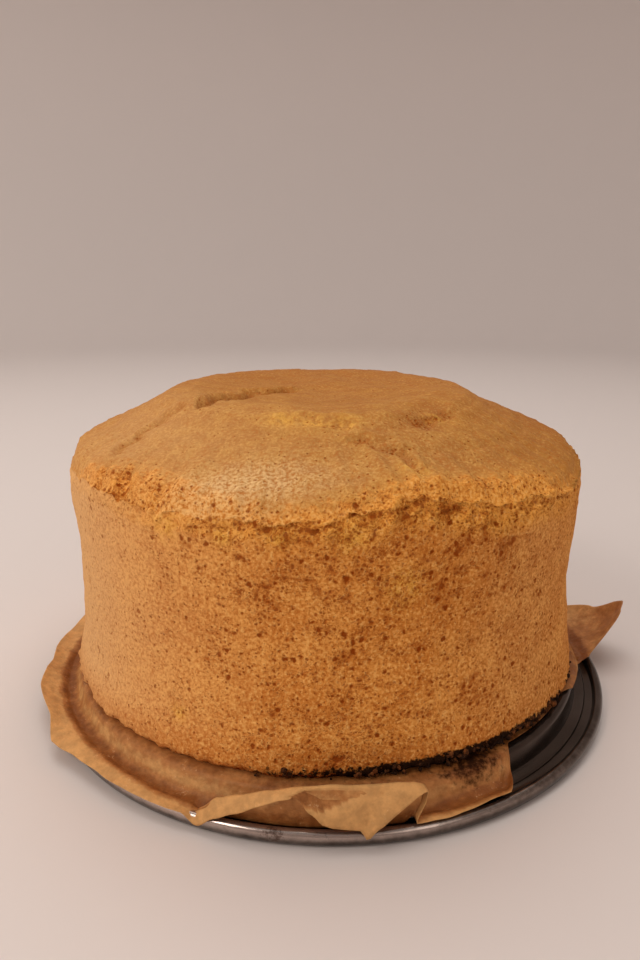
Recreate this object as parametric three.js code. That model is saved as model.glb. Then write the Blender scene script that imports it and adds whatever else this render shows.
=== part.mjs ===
// A tall round sponge cake, baked golden, on the paper and the tin base it was baked on.
//
// Millimetres, +Z up. The origin lies on the table, under the middle of the outline of
// the whole thing. Looking along +Y shows the front, with +X to the right. Heights in
// the cake are counted from its foot level, the dark line round its foot.
import * as THREE from "three";

const { lerp, smoothstep, degToRad, euclideanModulo } = THREE.MathUtils;

// Driving sizes of the tin base: the loose bottom of a 20 cm springform tin
const TIN_MIDDLE = new THREE.Vector2(-5.9, -0.6);
const TIN_RADIUS = 106;
const RIM_HEIGHT = 5.3;
const RIM_WIDTH = 3.4;
const GROOVE_DEPTH = 2;
const FLANGE_HEIGHT = 4.4;
const PLATEAU_RADIUS = 94;
const PLATEAU_HEIGHT = 11.5;
const SHEET_METAL = 0.9;
const TIN_SEGMENTS = 62;

// Driving sizes of the cake
const CAKE_MIDDLE = new THREE.Vector2(-7.3, 4.3);
const CAKE_UNDERSIDE = 12.9;
const FOOT_LEVEL = 14.7;
const FOOT_RADIUS = 96.1;
const FOOT_FRONT_BULGE = 1.7;
const FOOT_SIDE_LEAN = 0.5;
const FOOT_CHAMFER = 1.6;
const RING_LINE = 74;
const LIP_INSET = 0.5;
const TORN_RECESS = 0.9;
const LIP_RAGGED = 0.65;
const CROWN = 98;
const CROWN_SHIFT = new THREE.Vector2(-4.9, -1.7);
const DOME_START = 1.6;
const CAKE_SEGMENTS = 84;
const CAKE_SEED = 20;

// Driving sizes of the paper
const PAPER = 0.45;
const PAPER_REST = 12.45;
const PAPER_INNER = 88;
const PAPER_CUT_RADIUS = 92.4;
const PAPER_CLEARANCE = 0.8;
const PAPER_REACH = 1.4;
const CUT_START = -56.2;
const CUT_END = -7;
const CUT_LIFT = 0.6;
const FLAP_FOOT = 6.8;
const FLAP_TOP_RADIUS = 103.6;
const FLAP_BEND = 2;
const FLAP_OUT = 2.6;
const FLAP_SPREAD = 0.095;
const RIPPLE = 0.7;

// Colours and finishes
const SPONGE_COLOUR = 0xc98a4a;
const PAPER_COLOUR = 0xa9774a;
const TIN_COLOUR = 0x4a4544;

// Value of a track of [place, value] pairs, eased between neighbours
function along(track, place) {
  if (place <= track[0][0]) return track[0][1];
  for (let i = 1; i < track.length; i++) {
    const [start, from] = track[i - 1];
    const [end, to] = track[i];
    const part = (place - start) / (end - start);
    if (place <= end) return lerp(from, to, (part + smoothstep(part, 0, 1)) / 2);
  }
  return track[track.length - 1][1];
}

// Shortest turn from one direction to another, in degrees
function turn(from, to) {
  return euclideanModulo(to - from + 180, 360) - 180;
}

// Smooth hill of height 1 round a direction, in degrees
function hill(direction, middle, halfWidth) {
  return Math.exp(-((turn(middle, direction) / halfWidth) ** 2));
}

// Seeded value noise between -1 and 1, smooth over a distance of 1
function lattice(x, y, z) {
  let h = Math.imul(x, 374761393) + Math.imul(y, 668265263) + Math.imul(z, 2147483647) + CAKE_SEED;
  h = Math.imul(h ^ (h >>> 13), 1274126177);
  return (((h ^ (h >>> 16)) >>> 0) / 4294967295) * 2 - 1;
}

function noise(x, y, z) {
  const cell = [Math.floor(x), Math.floor(y), Math.floor(z)];
  const part = [x - cell[0], y - cell[1], z - cell[2]].map((t) => t * t * (3 - 2 * t));
  let total = 0;
  for (let corner = 0; corner < 8; corner++) {
    const step = [corner & 1, (corner >> 1) & 1, (corner >> 2) & 1];
    const weight = step.reduce((w, s, k) => w * (s ? part[k] : 1 - part[k]), 1);
    total += weight * lattice(cell[0] + step[0], cell[1] + step[1], cell[2] + step[2]);
  }
  return total;
}

// How far the wall stands in from the foot, by height, at the left and at the right
const LEFT_WAIST = [[0, 0], [16, 3.6], [30, 4.3], [50, 4.2], [66, 2.8], [80, 2.8]];
const RIGHT_WAIST = [[0, 0], [16, 1.9], [34, 3.8], [46, 3.3], [58, 2.2], [80, 1.6]];

// Height of the dome by distance from its middle: a flat crown, a slope and a steep edge
const DOME = [
  [0, 96.5], [30, 97.6], [46, 98.8], [55, 98], [60, 95.4], [64, 93], [70, 90.4], [76, 87.3],
  [82, 84.7], [87, 82.6], [90.5, 80.2], [92.6, 76.4], [93.4, RING_LINE + DOME_START],
];

// Rises and dips of the torn line by direction: how much, where and over how wide a turn
const LINE_RISES = [[6.8, -74.5, 11], [1.4, -48, 10], [1.2, -141, 10], [-0.9, -123, 12], [-3, -30, 12]];

// Height of the torn line, where the wall of the tin ended: ragged, and higher at the front right
function ringLine(direction) {
  const raised = LINE_RISES.reduce((sum, [rise, at, wide]) => sum + rise * hill(direction, at, wide), 0);
  const a = degToRad(direction);
  return RING_LINE + raised + LIP_RAGGED * noise(9 * Math.cos(a), 9 * Math.sin(a), 4.2);
}

function footRadius(direction) {
  const a = degToRad(direction);
  return FOOT_RADIUS - FOOT_FRONT_BULGE * Math.sin(a) - FOOT_SIDE_LEAN * Math.cos(a);
}

function wallRadius(direction, height) {
  const right = 0.5 + 0.5 * Math.cos(degToRad(direction));
  return footRadius(direction) - lerp(along(LEFT_WAIST, height), along(RIGHT_WAIST, height), right);
}

// Signed and plain distance from a point to a stretch of creases through given points
function fromCrease(x, y, points) {
  let best = { near: Infinity, side: 1 };
  for (let i = 1; i < points.length; i++) {
    const [ax, ay] = points[i - 1];
    const [dx, dy] = [points[i][0] - ax, points[i][1] - ay];
    const t = THREE.MathUtils.clamp(((x - ax) * dx + (y - ay) * dy) / (dx * dx + dy * dy), 0, 1);
    const near = Math.hypot(x - ax - t * dx, y - ay - t * dy);
    if (near < best.near) best = { near, side: Math.sign(dx * (y - ay) - dy * (x - ax)) || 1 };
  }
  return best;
}

// Creases of the top crust, each a furrow with one raised side, and single dents and lumps
const CREASES = [
  { points: [[-66, -51], [-60, -43], [-51, -38], [-41, -38]], depth: 1.8, width: 3.6, lift: 0.9 },
  { points: [[-41, -38], [-33, -28], [-26.5, -11], [-15, -3]], depth: 2.7, width: 3.8, lift: 1.5 },
  { points: [[29, -53], [32.5, -48.5], [37, -43]], depth: 2.4, width: 4.5, lift: -0.6 },
  { points: [[-14, -57], [-4, -59], [6, -60]], depth: 1, width: 3.6, lift: 0.4 },
  { points: [[10, -68.5], [22.7, -73.6], [26.8, -83]], depth: 2, width: 3.6, lift: 1 },
];
const SPOTS = [
  { at: [-62, -69], size: 4.8, rise: -2 },
  { at: [-49.5, -79], size: 4, rise: -1.8 },
  { at: [49, -31], size: 11, rise: 0.8 },
  { at: [4, -30], size: 20, rise: -0.8 },
  { at: [-30, 46], size: 18, rise: 0.7 },
];

function crustRelief(x, y) {
  let rise = 0;
  for (const { points, depth, width, lift } of CREASES) {
    const { near, side } = fromCrease(x, y, points);
    rise -= depth * Math.exp(-((near / width) ** 2));
    rise += lift * Math.max(side, 0) * Math.exp(-((near / width - 1.6) ** 2));
  }
  for (const { at, size, rise: spot } of SPOTS) {
    rise += spot * Math.exp(-(((x - at[0]) ** 2 + (y - at[1]) ** 2) / size ** 2));
  }
  return rise + 0.6 * noise(x / 15, y / 15, 0.5) + 0.25 * noise(x / 6, y / 6, 7.5);
}

// A point of the crust, by its share of the way out from the crown to the torn line
function crustPoint(share, direction) {
  const a = degToRad(direction);
  const line = ringLine(direction);
  const radius = (wallRadius(direction, line) - LIP_INSET) * share;
  const slide = Math.sqrt(1 - share);
  const x = radius * Math.cos(a) + CROWN_SHIFT.x * slide;
  const y = radius * Math.sin(a) + CROWN_SHIFT.y * slide;
  const [reach, start] = DOME[DOME.length - 1];
  const stretch = (CROWN - line - DOME_START) / (CROWN - start);
  const drop = (CROWN - along(DOME, reach * share)) * lerp(1, stretch, smoothstep(share, 0.4, 0.93));
  return new THREE.Vector3(x, y, FOOT_LEVEL + CROWN - drop + crustRelief(x, y));
}

// Rings of the cake's skin from the middle of its underside to the middle of its top
const UNDER_SHARES = [0, 0.5, 0.92, 1];
const WALL_HEIGHTS = [0, 3, 8, 15, 23, 32, 41, 50, 58, 65, 69.5];
const LIP_STEPS = [[-2.4, -0.5 * TORN_RECESS], [-1, -TORN_RECESS], [0, 0.1], [DOME_START, -LIP_INSET]];
const CRUST_SHARES = [
  0.99, 0.978, 0.965, 0.945, 0.92, 0.885, 0.845, 0.8, 0.755, 0.71, 0.67, 0.64, 0.61, 0.58, 0.53, 0.46,
  0.37, 0.26, 0.13, 0,
];
function cakeRings() {
  return [
    ...UNDER_SHARES.map((share) => ({ kind: "under", share })),
    ...WALL_HEIGHTS.map((height) => ({ kind: "wall", height })),
    ...LIP_STEPS.map(([over, out]) => ({ kind: "lip", over, out })),
    ...CRUST_SHARES.map((share) => ({ kind: "crust", share })),
  ];
}

// A point of the cake's skin, from the cake's own middle, its height over the table
function cakePoint(ring, direction) {
  if (ring.kind === "crust") return crustPoint(ring.share, direction);
  const a = degToRad(direction);
  const [cos, sin] = [Math.cos(a), Math.sin(a)];
  const line = ringLine(direction);
  if (ring.kind === "under") {
    const radius = (footRadius(direction) - FOOT_CHAMFER) * ring.share;
    return new THREE.Vector3(radius * cos, radius * sin, CAKE_UNDERSIDE);
  }
  const onLip = ring.kind === "lip";
  const height = onLip ? line + ring.over : (ring.height * line) / RING_LINE;
  const uneven = 0.35 * noise(6 * cos, 6 * sin, height / 14) + 0.2 * noise(16 * cos, 16 * sin, height / 6);
  let radius = wallRadius(direction, height) + uneven;
  if (onLip) radius += ring.out;
  if (onLip && ring.over < DOME_START) radius += LIP_RAGGED * noise(11 * cos, 11 * sin, height / 2);
  return new THREE.Vector3(radius * cos, radius * sin, FOOT_LEVEL + height);
}

// A closed skin turned round an axis: a lathed start whose points are moved to their places
function turnedSkin(rings, segments, pointOf) {
  const onAxis = (row) => row === 0 || row === rings.length - 1;
  const profile = rings.map((_, row) => new THREE.Vector2(onAxis(row) ? 0 : 1, row));
  const geometry = new THREE.LatheGeometry(profile, segments);
  const position = geometry.attributes.position;
  for (let segment = 0; segment <= segments; segment++) {
    const direction = ((segment % segments) * 360) / segments - 180;
    for (let row = 0; row < rings.length; row++) {
      const point = pointOf(rings[row], direction);
      position.setXYZ(segment * rings.length + row, point.x, point.y, point.z);
    }
  }
  return geometry;
}

function spongeCake() {
  const geometry = turnedSkin(cakeRings(), CAKE_SEGMENTS, cakePoint);
  const material = new THREE.MeshStandardMaterial({ color: SPONGE_COLOUR, roughness: 0.85, metalness: 0 });
  const cake = new THREE.Mesh(geometry, material);
  cake.name = "sponge_cake";
  cake.position.set(CAKE_MIDDLE.x, CAKE_MIDDLE.y, 0);
  return cake;
}

// Upper face of the tin base by distance from its middle, from the plateau out to the rim
const GROOVE_OUT = TIN_RADIUS - RIM_WIDTH;
const TIN_UPPER = [
  [0, PLATEAU_HEIGHT],
  [PLATEAU_RADIUS - 0.6, PLATEAU_HEIGHT],
  [PLATEAU_RADIUS + 0.6, PLATEAU_HEIGHT - 0.5],
  [PLATEAU_RADIUS + 1.3, PLATEAU_HEIGHT - 1.7],
  [PLATEAU_RADIUS + 1.9, FLANGE_HEIGHT + 0.7],
  [PLATEAU_RADIUS + 2.5, FLANGE_HEIGHT],
  [GROOVE_OUT - 3.4, FLANGE_HEIGHT],
  [GROOVE_OUT - 2.8, RIM_HEIGHT - GROOVE_DEPTH],
  [GROOVE_OUT, RIM_HEIGHT - GROOVE_DEPTH - 0.1],
  [GROOVE_OUT + 0.5, RIM_HEIGHT - 0.8],
  [TIN_RADIUS - 2.2, RIM_HEIGHT],
  [TIN_RADIUS - 1, RIM_HEIGHT],
  [TIN_RADIUS - 0.2, RIM_HEIGHT - 1],
];
const TIN_UNDER = [
  [TIN_RADIUS, RIM_HEIGHT - 2.4],
  [TIN_RADIUS - 0.3, 1.8],
  [TIN_RADIUS - 1.8, 0],
  [TIN_RADIUS - 2.9, 0],
  [TIN_RADIUS - 3.3, 0.5],
  [TIN_RADIUS - 3.6, RIM_HEIGHT - GROOVE_DEPTH - SHEET_METAL],
  [GROOVE_OUT - 3.2, RIM_HEIGHT - GROOVE_DEPTH - SHEET_METAL],
  [GROOVE_OUT - 3.9, FLANGE_HEIGHT - SHEET_METAL],
  [PLATEAU_RADIUS + 1.6, FLANGE_HEIGHT - SHEET_METAL],
  [PLATEAU_RADIUS + 0.4, PLATEAU_HEIGHT - 2],
  [PLATEAU_RADIUS - 0.8, PLATEAU_HEIGHT - SHEET_METAL],
  [0, PLATEAU_HEIGHT - SHEET_METAL],
];

function tinBase() {
  const profile = [...TIN_UPPER, ...TIN_UNDER].map(([radius, height]) => new THREE.Vector2(radius, height));
  const geometry = new THREE.LatheGeometry(profile.reverse(), TIN_SEGMENTS);
  geometry.rotateX(Math.PI / 2);
  const material = new THREE.MeshStandardMaterial({ color: TIN_COLOUR, roughness: 0.35, metalness: 0.85 });
  const tin = new THREE.Mesh(geometry, material);
  tin.name = "tin_base";
  tin.position.set(TIN_MIDDLE.x, TIN_MIDDLE.y, 0);
  return tin;
}

// Height of the tin's upper face at a distance from its middle
function tinHeight(radius) {
  for (let i = 1; i < TIN_UPPER.length; i++) {
    const [start, from] = TIN_UPPER[i - 1];
    const [end, to] = TIN_UPPER[i];
    if (radius <= end) return lerp(from, to, (radius - start) / (end - start));
  }
  return radius < TIN_RADIUS ? RIM_HEIGHT - 1 : RIM_HEIGHT - 2;
}

// Lowest place for the paper's upper face, so that it lies clear on the tin
function restOnTin(radius) {
  let height = 0;
  for (const near of [-PAPER_REACH, 0, PAPER_REACH]) {
    const place = radius + near;
    if (place <= TIN_RADIUS + PAPER_CLEARANCE) height = Math.max(height, tinHeight(place) + PAPER_CLEARANCE);
  }
  return height;
}

// Where the paper's outer edge lies: distance from the tin's middle and height, by direction
const EDGE_OUT = [
  [-180, 110], [-172, 108.6], [-161, 110.8], [-151, 109.4], [-145, 112], [-139, 109], [-132, 107.9],
  [-113, 107], [-72, 105.4], [-59.5, 104.6], [-53, PAPER_CUT_RADIUS], [-29, PAPER_CUT_RADIUS], [-25, 95.6],
  [-18, 96.4], [-9, 98], [-5, 104], [1, 119], [5, 123.4], [10, 116], [17, 110], [35, 108], [60, 110],
  [90, 108.4], [120, 109.6], [145, 108], [167, 110], [180, 110],
];
const EDGE_UP = [
  [-180, 8.8], [-161, 11], [-151, 9.2], [-145, 6.2], [-132, 6.2], [-113, 6.2], [-72, 6.4], [-64, 7.4],
  [-59.5, 7], [-53, PAPER_REST], [-9, PAPER_REST], [-5, 7], [1, 22], [5, 22], [10, 15], [17, 11], [35, 9],
  [60, 10.5], [90, 8], [120, 9.6], [145, 8], [180, 8.8],
];

// The flap folded up at the front: its ridge, and how far its edge hangs down in front of it
const FLAP_RIDGE = [
  [-113.5, 3], [-111, 7.1], [-108.5, 11.3], [-105, 13.7], [-100, 16.7], [-95, 18.8], [-90, 19.8], [-85, 19.4],
  [-80, 19.3], [-77.5, 18.4], [-75.8, 17.2], [-73.5, 11],
];
const FLAP_HANG = [
  [-113.5, 1], [-111, 4.2], [-108.5, 4.9], [-105, 4.2], [-101, 2.9], [-98, 1.6], [-96, 1.8], [-93, 7],
  [-91.5, 10.1], [-90, 11.2], [-87, 11.8], [-86, 12.2], [-85, 14.8], [-83, 12.5], [-82, 10.3], [-81, 7.1],
  [-79, 3.9], [-77.5, 1.8], [-75.5, 0.6],
];
function flapShare(direction) {
  return smoothstep(direction, -114, -111.5) * (1 - smoothstep(direction, -75.6, -73.4));
}

function cutShare(direction) {
  const begun = smoothstep(direction, CUT_START - 3.3, CUT_START + 3.2);
  return begun * (1 - smoothstep(direction, CUT_END - 2, CUT_END + 2));
}

// How the flap stands up to its ridge: distance from the middle, and share of the height
const FLAP_RISE = [[102.9, 0], [104.2, 0.3], [104.3, 0.7], [FLAP_TOP_RADIUS, 1]];

// Height of the paper's upper face where it lies over the tin, by distance from the middle
const SKIRT = [
  [PAPER_INNER, PAPER_REST], [94.4, PAPER_REST], [96.4, 11.4], [97.6, 8], [98.9, 6.2], [101.2, 5.9],
  [103.6, 7], [107, 7.2],
];
const SKIRT_KNOTS = [PAPER_INNER, 93, 96.2, 97.6, 98.9, 101.2];

// Cross-section of the paper in one direction: [distance, height] of its upper face
function paperSection(direction) {
  const a = degToRad(direction);
  const edge = along(EDGE_OUT, direction);
  const reach = Math.min(1, (edge - PAPER_INNER) / (TIN_RADIUS - PAPER_INNER));
  const raised = (along(EDGE_UP, direction) - along(SKIRT, edge)) * (1 - cutShare(direction));
  const ridge = along(FLAP_RIDGE, direction);
  const hang = along(FLAP_HANG, direction);
  const standing = [
    ...FLAP_RISE.map(([radius, share]) => [radius, lerp(FLAP_FOOT, ridge, share)]),
    [FLAP_TOP_RADIUS + FLAP_BEND, ridge - 0.42 * hang],
    [FLAP_TOP_RADIUS + FLAP_OUT + FLAP_SPREAD * hang, ridge - hang],
  ];
  const flap = flapShare(direction);
  const inner = SKIRT_KNOTS.map((radius) => PAPER_INNER + (radius - PAPER_INNER) * reach);
  const outer = standing.map((_, step) => lerp(inner[inner.length - 1], edge, (step + 1) / standing.length));
  const points = [...inner, ...outer].map((radius, step) => {
    const free = Math.max(0, (step - inner.length + 1) / standing.length);
    const wave = noise(8 * Math.cos(a), 8 * Math.sin(a), radius / 9) * RIPPLE * smoothstep(radius, 97, 104);
    return [radius, along(SKIRT, radius) + raised * free ** 2 + wave * (1 - flap)];
  });
  standing.forEach(([radius, height], step) => {
    const point = points[inner.length + step];
    point[0] = lerp(point[0], radius, flap);
    point[1] = lerp(point[1], height, flap);
  });
  return points;
}

// Rings of the paper, as shares of the way along its cross-section
const PAPER_STEPS = [0, 0.075, 0.16, 0.26, 0.36, 0.455, 0.545, 0.64, 0.73, 0.82, 0.91, 1];

// Directions of the paper's rows: close together where it is folded or cut
function paperDirections() {
  const directions = [];
  for (let direction = -180; direction < 180; ) {
    directions.push(direction);
    const folded = direction >= -116 && direction < -70;
    const cut = (direction >= -60 && direction < -52) || (direction >= -10 && direction < -4);
    const turned = direction >= -4 && direction < 19;
    direction += folded ? 1.5 : cut ? 1 : turned ? 2.5 : 6;
  }
  return directions;
}

// Upper face of the paper as rows of points, one row for each direction
function paperRows() {
  return paperDirections().map((direction) => {
    const points = paperSection(direction).map(([radius, height]) => new THREE.Vector3(radius, height, 0));
    const curve = new THREE.CatmullRomCurve3(points, false, "centripetal");
    const a = degToRad(direction);
    return PAPER_STEPS.map((step) => {
      const { x: radius, y: height } = curve.getPoint(step);
      const nearCut = hill(direction, CUT_START, 4) + hill(direction, CUT_END, 4);
      const lifted = CUT_LIFT * nearCut * smoothstep(radius, 92.6, 95);
      const resting = Math.max(height, restOnTin(radius) + lifted);
      return new THREE.Vector3(radius * Math.cos(a), radius * Math.sin(a), resting);
    });
  });
}

// A round thin sheet: an upper face through the rows, the same face below it, and its edge
function sheetGeometry(rows, thickness) {
  const [count, steps] = [rows.length, rows[0].length];
  const upper = [new THREE.Vector3(0, 0, PAPER_REST)];
  const lower = [new THREE.Vector3(0, 0, PAPER_REST - thickness)];
  for (let row = 0; row < count; row++) {
    for (let step = 0; step < steps; step++) {
      const across = rows[(row + 1) % count][step].clone().sub(rows[(row + count - 1) % count][step]);
      const out = rows[row][Math.min(step + 1, steps - 1)].clone().sub(rows[row][Math.max(step - 1, 0)]);
      const normal = out.cross(across).normalize();
      upper.push(rows[row][step]);
      lower.push(rows[row][step].clone().addScaledVector(normal, -thickness));
    }
  }
  const at = (row, step) => 1 + (row % count) * steps + step;
  const below = upper.length;
  const faces = [];
  const both = (a, b, c) => faces.push(a, b, c, below + a, below + c, below + b);
  for (let row = 0; row < count; row++) {
    both(0, at(row, 0), at(row + 1, 0));
    for (let step = 0; step < steps - 1; step++) {
      both(at(row, step), at(row, step + 1), at(row + 1, step + 1));
      both(at(row, step), at(row + 1, step + 1), at(row + 1, step));
    }
    const [here, next] = [at(row, steps - 1), at(row + 1, steps - 1)];
    faces.push(here, below + here, below + next, here, below + next, next);
  }
  const geometry = new THREE.BufferGeometry().setFromPoints([...upper, ...lower]);
  geometry.setIndex(faces);
  geometry.computeVertexNormals();
  return geometry;
}

function bakingPaper() {
  const geometry = sheetGeometry(paperRows(), PAPER);
  const material = new THREE.MeshStandardMaterial({ color: PAPER_COLOUR, roughness: 0.7, metalness: 0 });
  const paper = new THREE.Mesh(geometry, material);
  paper.name = "baking_paper";
  paper.position.set(TIN_MIDDLE.x, TIN_MIDDLE.y, 0);
  return paper;
}

const cakeOnItsBase = new THREE.Group();
cakeOnItsBase.add(tinBase(), bakingPaper(), spongeCake());

export default cakeOnItsBase;
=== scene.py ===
"""Looks of a tall round sponge cake, still on its baking paper and the base of its tin.

Lengths in the classes are millimetres and are turned into metres as the meshes are made.
The origin is on the table, under the middle of the outline of the whole thing. The side
that faces -Y is the front, and heights in the cake are counted from the dark line round
its foot. Directions are degrees, counted from +X towards +Y.
"""

import logging
import math
from dataclasses import dataclass
from enum import Enum
from typing import Sequence

import bpy
import numpy as np
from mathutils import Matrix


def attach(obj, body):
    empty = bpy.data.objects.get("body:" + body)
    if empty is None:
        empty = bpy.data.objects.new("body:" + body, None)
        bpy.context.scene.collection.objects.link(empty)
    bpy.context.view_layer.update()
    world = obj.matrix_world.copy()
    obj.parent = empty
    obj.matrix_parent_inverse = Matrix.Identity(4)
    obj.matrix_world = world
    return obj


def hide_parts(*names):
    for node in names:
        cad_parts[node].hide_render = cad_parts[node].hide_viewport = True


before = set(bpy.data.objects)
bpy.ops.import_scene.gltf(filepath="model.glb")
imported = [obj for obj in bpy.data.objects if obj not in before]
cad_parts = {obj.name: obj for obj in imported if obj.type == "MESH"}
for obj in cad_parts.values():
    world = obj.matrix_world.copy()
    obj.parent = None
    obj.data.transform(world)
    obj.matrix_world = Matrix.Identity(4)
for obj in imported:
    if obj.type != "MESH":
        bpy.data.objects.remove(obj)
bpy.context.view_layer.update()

LOG = logging.getLogger("sponge_cake")
MM = 0.001
MASK = np.uint64(0xFFFFFFFF)

Values = np.ndarray
Piece = bpy.types.Object
Socket = bpy.types.NodeSocket
Pair = tuple[float, float]
Track = Sequence[Pair]
Triple = tuple[float, float, float]
Colour = Triple


class Slot(Enum):
    """Material slots of the record."""

    SPONGE = "sponge"
    PAPER = "baking_paper"
    STEEL = "tin_steel"


def smooth(value: Values, start: float, end: float) -> Values:
    """Ease from 0 at start to 1 at end."""
    t = np.clip((value - start) / (end - start), 0.0, 1.0)
    return t * t * (3.0 - 2.0 * t)


def along(track: Track, place: Values) -> Values:
    """Read a track of (place, value) pairs, half eased between neighbours.

    Args:
        track: the pairs, in order of place.
        place: where to read it.

    Returns:
        The values there, held at both ends.
    """
    places, values = (np.array(column, float) for column in zip(*track))
    spot = np.clip(place, places[0], places[-1])
    index = np.clip(np.searchsorted(places, spot, side="right") - 1, 0, len(places) - 2)
    part = (spot - places[index]) / (places[index + 1] - places[index])
    eased = (part + part * part * (3.0 - 2.0 * part)) / 2.0
    return values[index] + (values[index + 1] - values[index]) * eased


def hill(direction: Values, middle: float, half_width: float) -> Values:
    """Smooth hill of height 1 round a direction, in degrees."""
    away = (direction - middle + 180.0) % 360.0 - 180.0
    return np.exp(-((away / half_width) ** 2))


def patch(x: Values, y: Values, middle: Pair, wide: float, deep: float) -> Values:
    """Smooth round or oval hill of height 1, wide along x and deep along y."""
    return np.exp(-(((x - middle[0]) / wide) ** 2 + ((y - middle[1]) / deep) ** 2))


def off_line(x: Values, y: Values, start: Pair, end: Pair) -> tuple[Values, Values]:
    """Distance from a straight stretch, and the side of it: 1 at its left, -1 at its right."""
    dx, dy = end[0] - start[0], end[1] - start[1]
    x, y = x - start[0], y - start[1]
    t = np.clip((x * dx + y * dy) / (dx * dx + dy * dy), 0, 1)
    return np.hypot(x - t * dx, y - t * dy), np.sign(dx * y - dy * x)


@dataclass
class Spots:
    """Where the points of a piece lie, one number for each point in every field."""

    direction: Values
    share: Values
    height: Values

    def hill(self, middle: float, half_width: float) -> Values:
        """Smooth hill of height 1 round a direction, in degrees."""
        return hill(self.direction, middle, half_width)


@dataclass
class SkinSpots(Spots):
    """Points of the cake's skin, with heights counted from the foot level.

    Attributes:
        line: height of the torn line in each point's direction.
        step: height of the point over that line.
        top: whether the point lies on the crust, where share is its part of the way out.
    """

    line: Values
    step: Values
    top: Values


class Grain:
    """Seeded patterns in space, for relief that looks the same each run."""

    @staticmethod
    def _draw(cell: Values, seed: int) -> Values:
        """Random number from 0 to 1 for each cell of a lattice."""
        c = cell.astype(np.int64).astype(np.uint64) & MASK
        h = c[..., 0] * np.uint64(374761393) + c[..., 1] * np.uint64(668265263)
        h = (h + c[..., 2] * np.uint64(2246822519) + np.uint64(seed * 97531)) & MASK
        for shift, factor in ((13, 1274126177), (15, 2654435761)):
            h = ((h ^ (h >> np.uint64(shift))) * np.uint64(factor)) & MASK
        return (h ^ (h >> np.uint64(16))).astype(float) / 0xFFFFFFFF

    @classmethod
    def clouds(cls, points: Values, size: float, seed: int, octaves: int = 1) -> Values:
        """Smooth noise from about -1 to 1.

        Args:
            points: places, one row each.
            size: distance over which it changes.
            seed: number of the pattern.
            octaves: finer copies added, each half as large and half as strong.

        Returns:
            One value for each point.
        """
        total = np.zeros(len(points))
        strength = 1.0
        for octave in range(octaves):
            p = points / (size / 2**octave)
            cell = np.floor(p)
            t = p - cell
            t = t * t * (3.0 - 2.0 * t)
            for corner in range(8):
                step = np.array([corner & 1, (corner >> 1) & 1, (corner >> 2) & 1])
                weight = np.prod(np.where(step, t, 1.0 - t), axis=1)
                total += strength * weight * (cls._draw(cell + step, seed + octave) * 2.0 - 1.0)
            strength /= 2.0
        return total

    @classmethod
    def pores(cls, points: Values, size: float, seed: int, share: float, radius: Pair) -> Values:
        """Round pits strewn in space.

        Args:
            points: places, one row each.
            size: edge of the lattice, which has one pit in a cell at most.
            seed: number of the pattern.
            share: how many of the cells hold a pit.
            radius: smallest and largest radius of a pit.

        Returns:
            Depth from 0 to 1 at each point.
        """
        depth = np.zeros(len(points))
        cell = np.floor(points / size)
        for step in np.ndindex(3, 3, 3):
            near = cell + np.array(step) - 1
            middle = np.stack([cls._draw(near, seed + axis) for axis in range(3)], axis=1)
            wide = radius[0] + (radius[1] - radius[0]) * cls._draw(near, seed + 3) ** 2
            away = np.linalg.norm(points - (near + middle) * size, axis=1) / wide
            pit = np.where(cls._draw(near, seed + 4) < share, 1.0 - smooth(away, 0.25, 1.0), 0.0)
            depth = np.maximum(depth, pit)
        return depth

    @classmethod
    def warped(cls, points: Values, size: float, amount: float, seed: int) -> Values:
        """Push points about by smooth noise, so that round shapes turn uneven."""
        push = np.stack([cls.clouds(points, size, seed + axis) for axis in range(3)], axis=1)
        return points + amount * push


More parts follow.
